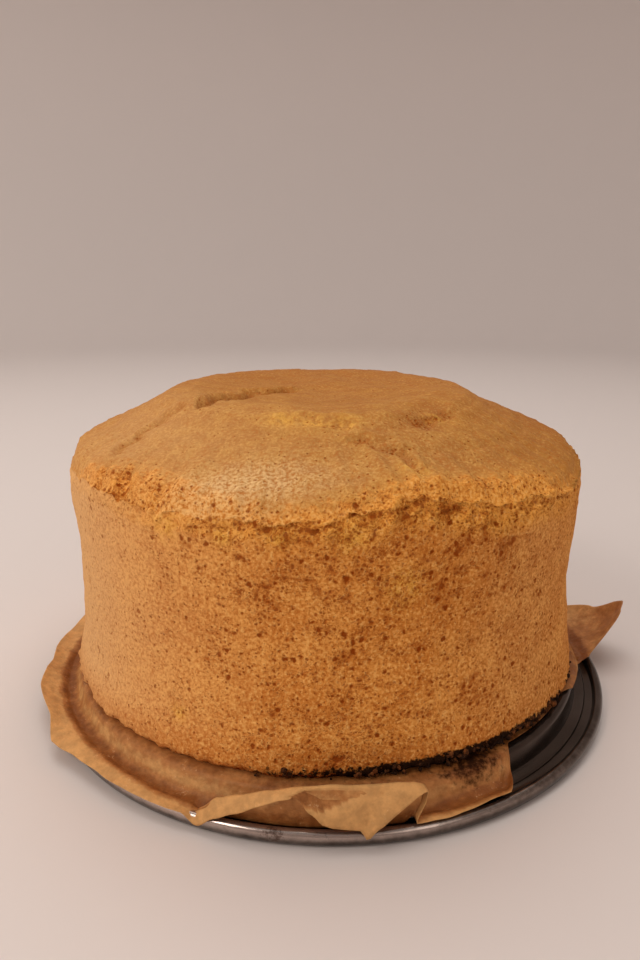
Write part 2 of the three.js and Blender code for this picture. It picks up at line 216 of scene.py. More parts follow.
class Bench:
    """Small helpers for modelling with Blender's own operators."""

    @staticmethod
    def clear() -> None:
        """Leave nothing selected."""
        if bpy.context.object and bpy.context.object.mode != "OBJECT":
            bpy.ops.object.mode_set(mode="OBJECT")
        bpy.ops.object.select_all(action="DESELECT")

    @staticmethod
    def pick(piece: Piece) -> None:
        """Make a piece the active one and the only one selected."""
        Bench.clear()
        piece.select_set(True)
        bpy.context.view_layer.objects.active = piece

    @staticmethod
    def edit() -> None:
        """Go into edit mode on the active piece."""
        bpy.ops.object.mode_set(mode="EDIT")

    @staticmethod
    def finish_edit() -> Piece:
        """Leave edit mode and return the active piece."""
        bpy.ops.object.mode_set(mode="OBJECT")
        return bpy.context.object

    @staticmethod
    def face_outwards() -> None:
        """Turn every face of the piece in edit mode outwards."""
        bpy.ops.mesh.select_all(action="SELECT")
        bpy.ops.mesh.normals_make_consistent(inside=False)

    @staticmethod
    def start(name: str) -> Piece:
        """Name the fresh primitive."""
        piece = bpy.context.object
        piece.name = name
        piece.data.name = name
        return piece

    @staticmethod
    def add(name: str, points: Sequence, edges: Sequence, faces: Sequence) -> Piece:
        """Make a mesh of points, in metres, and pick it."""
        mesh = bpy.data.meshes.new(name)
        mesh.from_pydata(points, edges, faces)
        piece = bpy.data.objects.new(name, mesh)
        bpy.context.collection.objects.link(piece)
        Bench.pick(piece)
        return piece

    @staticmethod
    def turned(name: str, outline: Track, turns: int, middle: Pair = (0.0, 0.0)) -> Piece:
        """Turn a mesh from a profile.

        Args:
            name: name of the piece.
            outline: distances from the axis and heights, in metres.
            turns: number of steps round.
            middle: place of the upright axis, in metres.

        Returns:
            The piece.
        """
        corners = [(middle[0] + out, middle[1], up) for out, up in outline]
        Bench.add(name, corners, [(i, i + 1) for i in range(len(corners) - 1)], [])
        Bench.edit()
        bpy.ops.mesh.select_all(action="SELECT")
        bpy.ops.mesh.spin(steps=turns, angle=math.tau, center=(*middle, 0), axis=(0, 0, 1))
        bpy.ops.mesh.select_all(action="SELECT")
        bpy.ops.mesh.remove_doubles(threshold=1e-6)
        return Bench.finish_edit()

    @staticmethod
    def coordinates(piece: Piece) -> Values:
        """Read a mesh's points, in metres."""
        flat = np.empty(len(piece.data.vertices) * 3, dtype=np.float32)
        piece.data.vertices.foreach_get("co", flat)
        return flat.reshape(-1, 3).astype(float)

    @staticmethod
    def place(piece: Piece, points: Values) -> None:
        """Write a mesh's points, in metres."""
        piece.data.vertices.foreach_set("co", points.astype(np.float32).ravel())
        piece.data.update()

    @staticmethod
    def paint(piece: Piece, **layers: Values) -> None:
        """Store one number for each point and layer, for the material to read."""
        for name, values in layers.items():
            layer = piece.data.attributes.new(name, "FLOAT", "POINT")
            layer.data.foreach_set("value", values.astype(np.float32))

    @staticmethod
    def fit_out(piece: Piece, slot: Slot, material: bpy.types.Material, *nodes: str) -> None:
        """Give a finished piece its material and body, and hide the nodes it stands for."""
        piece.data.materials.clear()
        piece.data.materials.append(material)
        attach(piece, "root")
        if nodes:
            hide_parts(*nodes)
        LOG.info("%s: %d faces", piece.name, len(piece.data.polygons))


class Graph:
    """A material's node tree, written as nested calls."""

    def __init__(self, name: str) -> None:
        """Start a material with a Principled shader."""
        self.material = bpy.data.materials.new(name)
        self.material.use_nodes = True
        self.tree = self.material.node_tree
        self.shader = self.tree.nodes["Principled BSDF"]
        self.object = self.node("ShaderNodeTexCoord").outputs["Object"]

    def node(self, kind: str, **settings: object) -> bpy.types.Node:
        """Add a node and set its properties."""
        made = self.tree.nodes.new(kind)
        for key, value in settings.items():
            setattr(made, key, value)
        return made

    def feed(self, socket: Socket, value: object) -> None:
        """Link a socket to another node's output, or set it to a plain value."""
        if isinstance(value, Socket):
            self.tree.links.new(value, socket)
        elif isinstance(value, tuple) and len(value) == 3 and socket.type == "RGBA":
            socket.default_value = (*value, 1.0)
        else:
            socket.default_value = value

    def fill(self, made: bpy.types.Node, values: dict[int | str, object], output: int | str = 0) -> Socket:
        """Feed a node's inputs and return one of its outputs."""
        for key, value in values.items():
            self.feed(made.inputs[key], value)
        return made.outputs[output]

    def math(self, operation: str, *values: object, clamp: bool = False) -> Socket:
        """Arithmetic on one to three values."""
        made = self.node("ShaderNodeMath", operation=operation, use_clamp=clamp)
        return self.fill(made, dict(enumerate(values)))

    def plus(self, first: object, second: object, clamp: bool = False) -> Socket:
        """Sum of two values."""
        return self.math("ADD", first, second, clamp=clamp)

    def times(self, first: object, second: object, clamp: bool = False) -> Socket:
        """Product of two values."""
        return self.math("MULTIPLY", first, second, clamp=clamp)

    def most(self, first: object, second: object, clamp: bool = False) -> Socket:
        """Larger of two values."""
        return self.math("MAXIMUM", first, second, clamp=clamp)

    def vector(self, operation: str, values: dict[int | str, object]) -> Socket:
        """Arithmetic on vectors."""
        return self.fill(self.node("ShaderNodeVectorMath", operation=operation), values)

    def ramp(self, value: object, start: float, end: float, low: float = 0.0, high: float = 1.0) -> Socket:
        """Ease a value from low at start to high at end."""
        made = self.node("ShaderNodeMapRange", interpolation_type="SMOOTHSTEP")
        return self.fill(made, dict(enumerate((value, start, end, low, high))))

    def mix(self, share: object, first: object, second: object) -> Socket:
        """Mix two colours by a share."""
        made = self.node("ShaderNodeMix", data_type="RGBA", blend_type="MIX")
        return self.fill(made, {0: share, 6: first, 7: second}, 2)

    def jitter(self, size: float, amount: float) -> Socket:
        """Object coordinates pushed about by noise, both sizes in millimetres."""
        noise = {"Vector": self.object, "Scale": 1.0 / (size * MM), "Detail": 1.0}
        drift = self.fill(self.node("ShaderNodeTexNoise"), noise, "Color")
        centred = self.vector("SUBTRACT", {0: drift, 1: (0.5, 0.5, 0.5)})
        scaled = self.vector("SCALE", {0: centred, "Scale": amount * MM})
        return self.vector("ADD", {0: self.object, 1: scaled})

    def noise(self, size: float, detail: float = 2.0, rough: float = 0.5) -> Socket:
        """Noise from 0 to 1 over a size in millimetres."""
        made = self.node("ShaderNodeTexNoise")
        values = {"Vector": self.object, "Scale": 1.0 / (size * MM), "Detail": detail, "Roughness": rough}
        return self.fill(made, values, "Fac")

    def sway(self, amount: float, *noise: float) -> Socket:
        """Noise round 0, over a range of the amount given."""
        return self.math("MULTIPLY_ADD", self.noise(*noise), amount, -amount / 2)

    def pores(self, size: float, radius: Pair, where: object, wider: object = 0.0) -> Socket:
        """Pores strewn in space, as depth from 0 to 1.

        Args:
            size: distance between them, in millimetres.
            radius: smallest and largest radius, as a share of that distance.
            where: the coordinates they lie in.
            wider: a value added to every radius.

        Returns:
            The depth.
        """
        made = self.node("ShaderNodeTexVoronoi", feature="F1")
        chance = self.node("ShaderNodeSeparateColor")
        self.feed(chance.inputs[0], self.fill(made, {"Vector": where, "Scale": 1.0 / (size * MM)}, "Color"))
        reach = self.math("MULTIPLY_ADD", chance.outputs[0], radius[1] - radius[0], radius[0])
        inside = self.math("SUBTRACT", self.plus(reach, wider), made.outputs["Distance"])
        return self.ramp(inside, 0.0, 0.3)

    def tint(self, colour: object, strength: object) -> Socket:
        """A colour made darker or lighter by a factor."""
        return self.vector("SCALE", {0: colour, "Scale": strength})

    def painted(self, name: str) -> Socket:
        """A number stored on the mesh."""
        return self.node("ShaderNodeAttribute", attribute_name=name).outputs["Fac"]

    def bump(self, height: object, distance: float, strength: float) -> Socket:
        """Relief of a height given from 0 to 1, over a distance in millimetres."""
        values = {"Strength": strength, "Distance": distance * MM, "Height": height}
        return self.fill(self.node("ShaderNodeBump"), values)

    def done(self, colour: object, roughness: object, normal: object = None, **sockets: object) -> bpy.types.Material:
        """Feed the shader and return the material."""
        values = {"Base Color": colour, "Roughness": roughness}
        if normal is not None:
            values["Normal"] = normal
        values.update({name.replace("_", " "): value for name, value in sockets.items()})
        self.fill(self.shader, values)
        return self.material


@dataclass(frozen=True)
class SpongeFinish:
    """Browned crumb of the wall and crust of the top, with pores, torn crumb and char, and painted sheen, shade and
    highlight.
    """

    wall_light: Colour = (0.82, 0.35, 0.074)
    wall_deep: Colour = (0.68, 0.25, 0.043)
    # painted sheen: a lighter, less saturated colour washed over parts of the skin
    pale: Colour = (0.77, 0.445, 0.19)
    crust_light: Colour = (0.53, 0.25, 0.044)
    crust_deep: Colour = (0.43, 0.175, 0.025)
    # painted shade: the colour that darkens the crust's back, right side and creases
    baked: Colour = (0.36, 0.125, 0.02)
    torn: Colour = (0.97, 0.445, 0.078)
    yolk: Colour = (0.9, 0.49, 0.085)
    # painted highlight: a lighter, speckled patch on the crust's front left shoulder, which faces the light
    bloom: Colour = (0.88, 0.6, 0.29)
    fleck: Colour = (0.95, 0.52, 0.16)
    shadow: Colour = (0.46, 0.125, 0.014)
    foot: Colour = (0.55, 0.18, 0.03)
    # pit colours: the pores' own red-brown, with painted shade making the deeper pits darker
    pore: Colour = (0.42, 0.088, 0.009)
    deep_pore: Colour = (0.25, 0.04, 0.003)
    char: Colour = (0.022, 0.008, 0.003)

    def material(self) -> bpy.types.Material:
        """Build the material."""
        g = Graph("sponge")
        crust = g.ramp(g.plus(g.painted("crust"), g.sway(1.4, 2.6, 4, 0.65)), 0.3, 0.7)
        grain = g.noise(1.0, 3, 0.65)
        colour = self.baked_colour(g, crust)
        # the grain and pores are weaker where sheen is painted
        lively = g.times(g.ramp(crust, 0, 1, 1.0, 0.65), g.ramp(g.painted("pale"), 0, 1, 1.0, 0.5))
        colour = g.mix(g.times(g.ramp(grain, 0.3, 0.56, 0.8, 0.0), lively), colour, self.shadow)
        bright = g.times(lively, g.ramp(crust, 0, 1, 1.0, 0.55))
        colour = g.mix(g.times(g.ramp(grain, 0.5, 0.7, 0.0, 0.8), bright), colour, self.fleck)
        pits = self.pits(g, crust)
        # painted shade in the pits: the deeper, the darker
        hole = g.mix(g.ramp(pits, 0.45, 1.0), self.pore, self.deep_pore)
        colour = g.mix(g.times(pits, g.ramp(g.painted("pale"), 0, 1, 0.92, 0.5)), colour, hole)
        burnt = g.ramp(g.plus(g.painted("char"), g.sway(1.8, 1.7, 4, 0.72)), 0.36, 0.7)
        colour = g.mix(burnt, colour, self.char)
        height = g.math("SUBTRACT", g.times(grain, 0.7), pits)
        rough = g.ramp(crust, 0.0, 1.0, 0.92, 0.76)
        shine = g.times(g.ramp(crust, 0.0, 1.0, 0.08, 0.24), g.ramp(pits, 0.1, 0.7, 1.0, 0.1))
        return g.done(colour, rough, g.bump(height, 0.6, 0.7), Specular_IOR_Level=shine)

    def baked_colour(self, g: Graph, crust: Socket) -> Socket:
        """Colour of the skin before its grain, pores and char, with painted sheen, shade and highlight mixed in."""
        wall = g.mix(g.ramp(g.noise(15, 4), 0.34, 0.66), self.wall_deep, self.wall_light)
        top = g.mix(g.ramp(g.noise(7, 5, 0.62), 0.36, 0.64), self.crust_deep, self.crust_light)
        # painted shade on the crust's back, right side and creases
        top = g.mix(g.painted("baked"), top, self.baked)
        # painted highlight on the crust's front left shoulder, broken up by fine noise
        powder = g.times(g.painted("bloom"), g.ramp(g.noise(1.0, 4, 0.7), 0.36, 0.64))
        yellow = g.times(g.painted("yolk"), g.ramp(g.noise(2.5, 3), 0.3, 0.6, 0.1, 0.7))
        colour = g.mix(crust, wall, top)
        for share, layer in (
            # painted sheen laid over the skin's colour
            (g.painted("pale"), self.pale),
            (g.times(g.painted("torn"), 0.85, clamp=True), self.torn),
            (yellow, self.yolk),
            (g.painted("brown"), self.foot),
            (powder, self.bloom),
        ):
            colour = g.mix(share, colour, layer)
        return colour

    @staticmethod
    def pits(g: Graph, crust: Socket) -> Socket:
        """Pores of all sizes, as depth from 0 to 1, shallower on the crust."""
        wider = g.plus(g.math("MULTIPLY_ADD", g.painted("porous"), 0.18, -0.157), g.sway(0.5, 7, 3))
        wider = g.plus(wider, g.times(g.painted("torn"), 0.02))
        wider = g.plus(wider, g.times(g.painted("gash"), 0.11))
        fine, medium = (
            g.times(g.ramp(g.plus(g.noise(size, 2, 0.55), wider), edge, edge + 0.2), depth)
            for size, edge, depth in ((0.75, 0.555, 0.65), (2.0, 0.59, 0.95))
        )
        small = g.times(g.pores(1.3, (0.0, 0.5), g.jitter(0.9, 0.5), wider), 0.85)
        middling = g.pores(2.4, (-0.02, 0.5), g.jitter(1.3, 1.5), wider)
        large = g.pores(4.6, (-0.14, 0.3), g.jitter(2.2, 2.6), wider)
        rounds = g.times(g.most(middling, large), g.ramp(crust, 0, 1, 1.0, 0.3))
        relief = g.ramp(g.painted("pit"), 0.3, 1.2, 0.0, 0.6)
        pits = g.most(g.most(fine, g.most(medium, small)), rounds)
        return g.most(pits, relief, clamp=True)


@dataclass(frozen=True)
class CharFinish:
    """Burnt crumb, near black with brown showing."""

    black: Colour = (0.02, 0.008, 0.004)
    brown: Colour = (0.2, 0.065, 0.018)

    def material(self) -> bpy.types.Material:
        """Build the material."""
        g = Graph("burnt_crumb")
        share = g.ramp(g.plus(g.noise(5, 2), g.times(g.noise(0.7, 3, 0.7), 0.5)), 0.7, 1.0)
        colour = g.mix(share, self.black, self.brown)
        return g.done(colour, 0.85, g.bump(g.noise(0.5, 3, 0.7), 0.3, 0.8), Specular_IOR_Level=0.1)


@dataclass(frozen=True)
class PaperFinish:
    """Brown unbleached baking paper, dark where fat soaked in and black where it burnt, with painted shade on its
    folded flap.
    """

    dry: Colour = (0.62, 0.325, 0.115)
    half: Colour = (0.43, 0.178, 0.052)
    # dark colour for fat-soaked paper and for the painted shade on the flap's folds
    greasy: Colour = (0.245, 0.08, 0.018)
    char: Colour = (0.03, 0.01, 0.004)
    fibre: Colour = (0.8, 0.5, 0.25)

    def material(self) -> bpy.types.Material:
        """Build the material."""
        g = Graph("baking_paper")
        blotch = g.sway(1.5, 5.5, 5, 0.65)
        # fat stains, and painted shade on the flap
        wet = g.plus(g.painted("grease"), blotch, clamp=True)
        colour = g.mix(g.ramp(wet, 0.05, 0.5), self.dry, self.half)
        colour = g.mix(g.ramp(wet, 0.45, 1.0), colour, self.greasy)
        scratch = g.times(g.ramp(g.noise(0.9, 4, 0.75), 0.56, 0.72), g.ramp(g.noise(6, 2), 0.5, 0.65))
        colour = g.mix(g.times(scratch, 0.6), colour, self.fibre)
        colour = g.tint(colour, g.ramp(g.noise(3.0, 4, 0.6), 0.3, 0.7, 0.85, 1.12))
        burnt = g.plus(g.painted("char"), g.sway(1.5, 2.4, 4, 0.7))
        black = g.ramp(burnt, 0.3, 0.85)
        colour = g.mix(black, colour, self.char)
        crinkle = g.plus(g.noise(4.5, 3, 0.6), g.times(g.noise(0.9, 2), 0.12))
        rough = g.ramp(wet, 0.0, 1.0, 0.66, 0.5)
        return g.done(colour, rough, g.bump(crinkle, 1.3, 0.5), Specular_IOR_Level=g.ramp(black, 0.0, 1.0, 0.22, 0.03))


@dataclass(frozen=True)
class SteelFinish:
    """Dark coated sheet steel, satin, lighter along the rim from wear, with a painted highlight on the rim's top at the
    front left.
    """

    coat: Colour = (0.05, 0.034, 0.025)
    rubbed: Colour = (0.085, 0.062, 0.05)
    # lighter rim colour: wear all round the rim, and a painted highlight on its top at the front left
    worn: Colour = (0.44, 0.36, 0.32)
    stain: Colour = (0.02, 0.014, 0.011)
    rust: Colour = (0.06, 0.022, 0.009)

    def material(self) -> bpy.types.Material:
        """Build the material."""
        g = Graph("tin_steel")
        colour = g.mix(g.ramp(g.noise(24, 2), 0.35, 0.7), self.coat, self.rubbed)
        # wear along the rim, and a painted highlight on its top at the front left
        bare = g.plus(g.painted("worn"), g.sway(0.5, 3.2, 4, 0.6))
        colour = g.mix(g.ramp(bare, 0.25, 0.85), colour, self.worn)
        spots = g.times(g.ramp(g.noise(2.1, 4, 0.72), 0.6, 0.72), 0.4)
        colour = g.mix(spots, colour, self.stain)
        rust = g.plus(g.painted("rust"), g.math("MULTIPLY_ADD", g.noise(1.0, 3, 0.7), 2.4, -1.7))
        colour = g.mix(g.ramp(rust, 0.2, 0.7, 0.0, 0.75), colour, self.rust)
        rough = g.ramp(g.noise(9, 2), 0.3, 0.7, 0.2, 0.27)
        return g.done(colour, rough, g.bump(g.noise(1.6, 2), 0.05, 0.15), Metallic=0.85)


@dataclass
class Cake:
    """The cake itself: foot, waisted wall, torn line and domed crust with its creases."""

    middle: Pair = (-7.3, 4.3)
    underside: float = 12.9
    foot_level: float = 14.7
    foot_radius: float = 96.1
    front_bulge: float = 1.7
    side_lean: float = 0.5
    ring_line: float = 74.0
    lip_inset: float = 0.5
    crown: float = 98.0
    crown_shift: Pair = (-4.9, -1.7)
    dome_start: float = 1.6
    segments: int = 672
    nominal_radius: float = 94.0
    grid_share: float = 0.85
    wall_end: float = 3.2
    gash_width: float = 0.65
    left_waist: Track = ((0, 0), (16, 3.6), (30, 4.3), (50, 4.2), (66, 2.8), (80, 2.8))
    right_waist: Track = ((0, 0), (16, 1.9), (34, 3.8), (46, 3.3), (58, 2.2), (80, 1.6))
    dome: Track = (
        (0, 96.5), (30, 97.6), (46, 98.8), (55, 98), (60, 95.4), (64, 93), (70, 90.4), (76, 87.3),
        (82, 84.7), (87, 82.6), (90.5, 80.2), (92.6, 76.4), (93.4, 75.6),
    )
    line_rises: tuple[Triple, ...] = (
        (6.8, -74.5, 11), (1.4, -48, 10), (1.2, -141, 10), (-0.9, -123, 12), (-3.0, -30, 12),
    )
    gashes: tuple[tuple[Pair, Pair, float, float], ...] = (
        ((-55.7, 65.2), (-59.8, 62.4), 1.5, 1.7), ((-59.8, 62.4), (-62.2, 60.6), 1.0, 1.0),
        ((-62.2, 60.6), (-67.2, 58.9), 1.3, 1.3), ((-64.0, 58.6), (-66.0, 57.8), 1.3, 1.2),
        ((-89.5, 72.4), (-89.7, 67.4), 1.0, 1.1), ((-97.0, 59.0), (-93.0, 59.4), 1.1, 1.4),
        ((-104.9, 64.7), (-103.2, 63.8), 1.4, 1.1), ((-98.3, 61.4), (-97.4, 60.2), 1.2, 1.2),
        ((-85.4, 65.6), (-84.6, 61.0), 1.2, 1.1), ((-83.6, 45.0), (-82.4, 42.6), 1.2, 1.1),
        ((-66.8, 51.6), (-65.4, 51.9), 1.2, 1.1), ((-58.9, 51.4), (-58.3, 51.1), 1.1, 1.1),
        ((-47.9, 47.2), (-47.5, 46.8), 1.1, 1.0), ((-80.5, 66.9), (-79.8, 67.2), 1.1, 1.1),
        ((-101.2, 43.3), (-100.8, 43.0), 0.9, 1.1), ((-88.6, 33.4), (-87.6, 33.8), 1.1, 1.1),
        ((-78.5, 79.5), (-75.0, 79.2), 1.6, 1.3), ((-70.5, 77.5), (-68.0, 77.0), 1.7, 1.4),
        ((-84.6, 77.0), (-81.0, 78.6), 1.6, 1.3), ((-90.8, 74.4), (-88.4, 76.4), 1.3, 1.0),
        ((-113.6, 72.2), (-107.8, 72.7), 0.9, 0.8), ((-107.8, 72.7), (-98.8, 73.9), 0.9, 1.1),
        ((-98.8, 73.9), (-91.6, 74.0), 1.0, 1.2), ((-55.3, 73.8), (-46.5, 74.4), 1.0, 1.1),
        ((-46.5, 74.4), (-33.6, 70.8), 0.9, 1.0), ((-63.8, 50.1), (-62.0, 50.3), 1.2, 1.1),
    )
    crease_lines: tuple[tuple[Track, float, float, float], ...] = (
        (((-66, -51), (-60, -43), (-51, -38), (-41, -38)), 1.2, 1.8, 0.6),
        (((-41, -38), (-33, -28), (-26.5, -11), (-15, -3)), 3.2, 2.2, 1.6),
        (((29, -53), (32.5, -48.5), (37, -43)), 2.8, 3.6, -0.6),
        (((-14, -57), (-4, -59), (6, -60)), 1.3, 2.2, 0.5),
        (((10, -68.5), (22.7, -73.6), (26.8, -83)), 1.4, 2.4, 0.9),
    )
    dents: tuple[tuple[Pair, float, float], ...] = (
        ((-62, -69), 4.2, -2.4), ((-49.5, -79), 3.4, -2.2), ((-69, -60), 3.6, -1.4),
        ((49, -31), 11, 0.8), ((4, -30), 20, -0.8), ((-30, 46), 18, 0.7),
    )
    yolk_creases: tuple[tuple[Pair, float], ...] = (
        ((-14, -57), 5), ((-4, -59.5), 5), ((6, -60), 4), ((36, -46), 5), ((24, -83), 5),
    )
    yolk_marks: tuple[Triple, ...] = (
        (-77.0, 56.5, 5.5), (-107.5, 70.5, 3.0), (-119.0, 71.5, 4.0),
        (-98.0, 71.5, 3.0), (-86.0, 72.0, 4.5), (-118, 12, 2.4),
    )

    def rows(self) -> list[Pair]:
        """Rows of the skin between foot and crust, as (height, step over the line or nothing)."""
        wall = [(height, math.nan) for height in np.linspace(0.0, self.ring_line - self.wall_end, 76)]
        lip = [(self.ring_line, step) for step in np.linspace(-2.8, self.dome_start, 11)]
        return wall + lip

    def ring_height(self, direction: Values) -> Values:
        """Height of the torn line: ragged, and higher at the front right."""
        raised = sum(rise * hill(direction, at, wide) for rise, at, wide in self.line_rises)
        a = np.radians(direction)
        ring = np.stack([np.cos(a), np.sin(a), np.zeros_like(a)], axis=1) * self.nominal_radius
        ragged = 0.5 * Grain.clouds(ring, 11, 3) + 1.0 * Grain.clouds(ring, 3.2, 4) + 0.6 * Grain.clouds(ring, 1.6, 5)
        return self.ring_line + raised + ragged

    def foot(self, direction: Values) -> Values:
        """Radius of the foot by direction."""
        a = np.radians(direction)
        return self.foot_radius - self.front_bulge * np.sin(a) - self.side_lean * np.cos(a)

    def wall_radius(self, direction: Values, height: Values) -> Values:
        """Radius of the wall, before its crumb, by direction and height."""
        right = 0.5 + 0.5 * np.cos(np.radians(direction))
        left_waist, right_waist = along(self.left_waist, height), along(self.right_waist, height)
        return self.foot(direction) - left_waist * (1 - right) - right_waist * right

    def creases(self, x: Values, y: Values) -> Values:
        """Rise of the crust at its creases, dents and lumps.

        Args:
            x: place across, from the cake's middle.
            y: place away from the front.

        Returns:
            The rise at each place.
        """
        rise = np.zeros_like(x)
        flat = np.stack([x, y, rise], axis=1)
        x = x + 1.9 * Grain.clouds(flat, 5.0, 91) + 1.2 * Grain.clouds(flat, 2.2, 92)
        y = y + 1.9 * Grain.clouds(flat, 5.0, 93) + 1.2 * Grain.clouds(flat, 2.2, 94)
        for points, depth, width, lift in self.crease_lines:
            near = np.full_like(x, 1e9)
            side = np.ones_like(x)
            for start, end in zip(points, points[1:]):
                away, turned = off_line(x, y, start, end)
                side = np.where(away < near, turned, side)
                near = np.minimum(away, near)
            rise -= depth * np.exp(-((near / width) ** 2))
            rise += lift * np.maximum(side, 0) * np.exp(-((near / width - 1.6) ** 2))
        for middle, size, up in self.dents:
            rise += up * patch(x, y, middle, size, size)
        return rise

    def blank(self) -> Piece:
        """Model the skin as a straight-sided drum of even rows, with a gridded top."""
        Bench.clear()
        bpy.ops.mesh.primitive_circle_add(vertices=self.segments, radius=self.nominal_radius * MM)
        piece = Bench.start("sponge_cake_crumb")
        Bench.edit()
        bpy.ops.mesh.select_mode(type="EDGE")
        bpy.ops.mesh.select_all(action="SELECT")
        for _ in self.rows()[1:]:
            bpy.ops.mesh.extrude_edges_move(TRANSFORM_OT_translate={"value": (0, 0, MM)})
        shares = np.linspace(1.0, self.grid_share, 15)
        for share, smaller in zip(shares, shares[1:]):
            bpy.ops.mesh.extrude_edges_move(TRANSFORM_OT_translate={"value": (0, 0, 0)})
            bpy.ops.transform.resize(value=(smaller / share, smaller / share, 1))
        bpy.ops.mesh.fill_grid(span=self.segments // 4)
        bpy.ops.mesh.select_all(action="DESELECT")
        Bench.finish_edit()
        for edge in piece.data.edges:
            edge.select = all(piece.data.vertices[i].co.z < 1e-6 for i in edge.vertices)
        Bench.edit()
        bpy.ops.mesh.extrude_edges_move(TRANSFORM_OT_translate={"value": (0, 0, -MM)})
        bpy.ops.mesh.edge_face_add()
        Bench.face_outwards()
        return Bench.finish_edit()

    def wall_points(self, spots: SkinSpots) -> tuple[Values, Values, Values]:
        """Radius of the crumbly wall and torn line.

        Args:
            spots: the points of the skin.

        Returns:
            The radius, and how deep each point lies in a pit and in a tear.
        """
        a, height, step = np.radians(spots.direction), spots.height, spots.step
        skin = np.stack([np.cos(a) * self.nominal_radius, np.sin(a) * self.nominal_radius, height], axis=1)
        rough = Grain.warped(skin, 2.4, 1.0, 14)
        loose = self.loose(spots)
        broken = smooth(Grain.clouds(skin * (1, 1, 0), 5, 17), -0.2, 0.6)
        under = smooth(step, -4.0, -0.8) * (1.0 - smooth(step, -0.5, 0.6)) * broken * spots.hill(-62, 24)
        lip = smooth(step, -1.4, 1.0)
        uneven = 0.35 * Grain.clouds(skin, 16, 11) + 0.16 * Grain.clouds(skin, 5, 12, 2)
        crumble = 1.4 * Grain.clouds(skin, 2.8, 13, 2) * loose + 0.12 * Grain.clouds(skin, 1.9, 18)
        dense = 0.25 + 0.75 * spots.hill(-78, 46)
        pits = 0.6 * Grain.pores(rough, 3.1, 21, 0.6, (0.5, 1.2)) * dense
        ragged = Grain.pores(rough, 3.4, 41, 0.9, (0.8, 2.1)) * loose
        frayed = 0.35 + 0.85 * smooth(Grain.clouds(skin, 2.6, 29), -0.25, 0.35)
        gash = self.gash_depth(spots, rough - skin) * frayed
        foot = 1.6 * (1.0 - smooth(height, -1.8, 0.6))
        lumps = 0.8 * Grain.clouds(skin, 2.2, 51) + 0.4 * Grain.clouds(skin, 5, 52)
        foot += lumps * (1.0 - smooth(height, 0.5, 3.0))
        radius = self.wall_radius(spots.direction, height) + uneven + crumble - foot
        radius -= self.lip_inset * lip + 0.4 * under + 0.7 * pits + 1.3 * ragged + 0.6 * gash
        return radius, np.maximum(0.7 * pits, 0.6 * ragged), gash

    def loose(self, spots: SkinSpots) -> Values:
        """How torn and crumbly the wall is, which is near the torn line."""
        torn = smooth(spots.step, -10.0, -4.0) * spots.hill(-62, 26)
        torn += smooth(spots.step, -4.5, -2.0) * (0.15 + 0.5 * spots.hill(-108, 34))
        return np.clip(torn, 0.0, 1.0)

    def gash_depth(self, spots: SkinSpots, drift: Values) -> Values:
        """Depth of the single tears and big pores of the wall.

        Args:
            spots: the points of the skin.
            drift: how far their places are pushed about, to make the tears uneven.

        Returns:
            The depth at each point.
        """
        arc = math.radians(1.0) * self.nominal_radius
        x = spots.direction * arc + drift[:, 0] + 0.6 * drift[:, 1]
        y = spots.height + drift[:, 2]
        depth = np.zeros_like(x)
        for (start, low), (end, high), width, deep in self.gashes:
            away, _ = off_line(x, y, (start * arc, low), (end * arc, high))
            depth = np.maximum(depth, deep * np.exp(-((away / (self.gash_width * width)) ** 2)))
        return depth

    def crust_points(self, spots: SkinSpots) -> tuple[Values, Values]:
        """Places of the crust inside the torn line.

        Args:
            spots: the points of the skin.

        Returns:
            The points from the cake's middle, and how deep each lies in a pit.
        """
        a, share, line = np.radians(spots.direction), spots.share, spots.line
        radius = share * (self.wall_radius(spots.direction, line) - self.lip_inset)
        slide = np.sqrt(np.clip(1.0 - share, 0.0, 1.0))
        x = radius * np.cos(a) + self.crown_shift[0] * slide
        y = radius * np.sin(a) + self.crown_shift[1] * slide
        reach, start = self.dome[-1]
        stretch = (self.crown - line - self.dome_start) / (self.crown - start)
        stretch = 1.0 + (stretch - 1.0) * smooth(share, 0.4, 0.93)
        height = self.crown - (self.crown - along(self.dome, reach * share)) * stretch
        flat = np.stack([x, y, np.zeros_like(x)], axis=1)
        height += self.creases(x, y) + 0.6 * Grain.clouds(flat, 15, 61) + 0.28 * Grain.clouds(flat, 6, 62, 2)
        loose = self.loose_crust(spots)
        skin = np.stack([x, y, height], axis=1)
        height += 0.1 * Grain.clouds(flat, 2.2, 63, 2) + 1.5 * loose * Grain.clouds(skin, 2.8, 13, 2)
        uneven = Grain.warped(skin, 2.6, 1.1, 66)
        pits = Grain.pores(uneven, 7.5, 71, 0.25, (0.7, 1.3)) * 0.4
        pits = np.maximum(pits, Grain.pores(uneven, 3.5, 81, 0.8, (0.8, 2.0)) * loose)
        height -= 1.1 * pits
        return np.stack([x, y, height], axis=1), pits

    def loose_crust(self, spots: SkinSpots) -> Values:
        """How crumbly the crust is, which is near its edge."""
        wide = 3.0 + 4.0 * spots.hill(-56, 24) + 8.0 * spots.hill(-126, 16)
        inwards = (1.0 - spots.share) * self.nominal_radius / wide
        around = 0.15 + 0.8 * spots.hill(-60, 34) + 0.85 * spots.hill(-128, 24) + 0.35 * spots.hill(-98, 16)
        return np.exp(-(inwards**2)) * around

